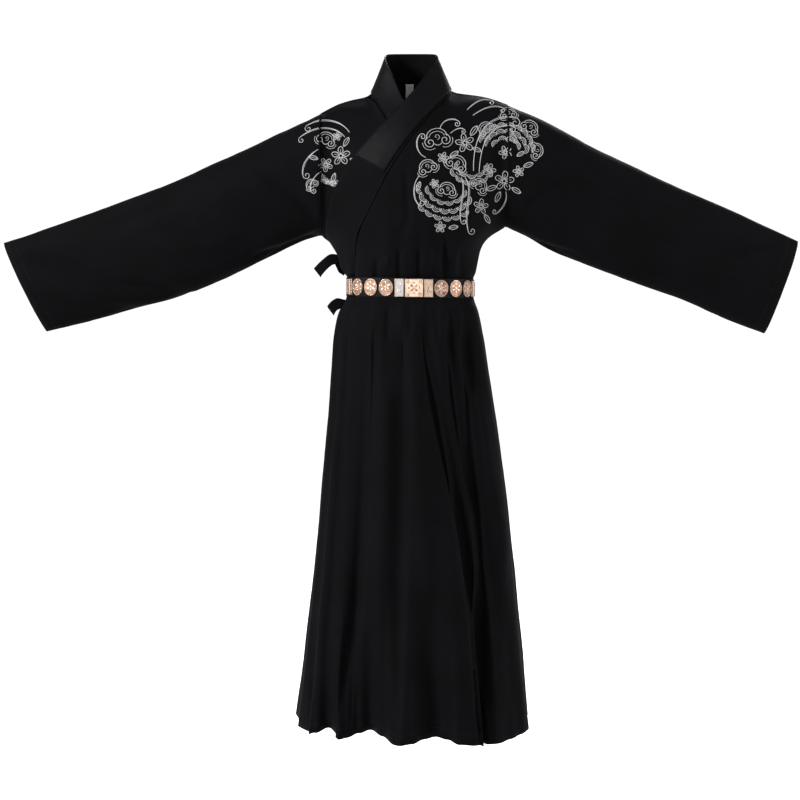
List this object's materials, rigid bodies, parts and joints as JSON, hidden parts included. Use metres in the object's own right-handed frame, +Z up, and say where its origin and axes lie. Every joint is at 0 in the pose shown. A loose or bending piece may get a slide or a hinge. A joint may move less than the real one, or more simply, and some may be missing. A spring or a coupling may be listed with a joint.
{
  "type": "cross-collar robe",
  "caption": "Long dark cross-collar robe, filled out as if worn, with wide straight sleeves, a pleated skirt, a glossy collar guard and a narrow belt of metal plaques.",
  "frame": {"origin": "middle of the neck base on the line of the shoulders, where a wearer holds the robe up", "axes": "+X towards the wearer's left, across both sleeves; +Y towards the wearer's back, the robe's front faces -Y; +Z up"},
  "size_m": [1.714, 0.4401, 1.4424],
  "materials": {
    "black_cloth": "matte",
    "black_satin": "glossy",
    "belt_strap": "satin",
    "rose_gold": "satin",
    "white_label": "matte"
  },
  "bodies": {
    "root": {"back": "black_cloth", "belt_band": "belt_strap", "collar_band": "black_cloth", "collar_guard": "black_satin", "front_inner": "black_cloth", "front_outer": "black_cloth", "neck_label": "white_label", "plaque_bar_1_left": "rose_gold", "plaque_bar_1_right": "rose_gold", "plaque_bar_2_left": "rose_gold", "plaque_bar_2_right": "rose_gold", "plaque_middle": "rose_gold", "plaque_narrow_left": "rose_gold", "plaque_narrow_right": "rose_gold", "plaque_oval_1_left": "rose_gold", "plaque_oval_1_right": "rose_gold", "plaque_oval_2_left": "rose_gold", "plaque_oval_2_right": "rose_gold", "plaque_oval_3_left": "rose_gold", "plaque_oval_3_right": "rose_gold", "skirt_back": "black_cloth", "skirt_front": "black_cloth", "skirt_inner": "black_cloth", "sleeve_left": "black_cloth", "sleeve_right": "black_cloth", "tie_lower_loop": "black_cloth", "tie_upper_end": "black_cloth", "tie_upper_tail": "black_cloth"}
  },
  "joints": []
}
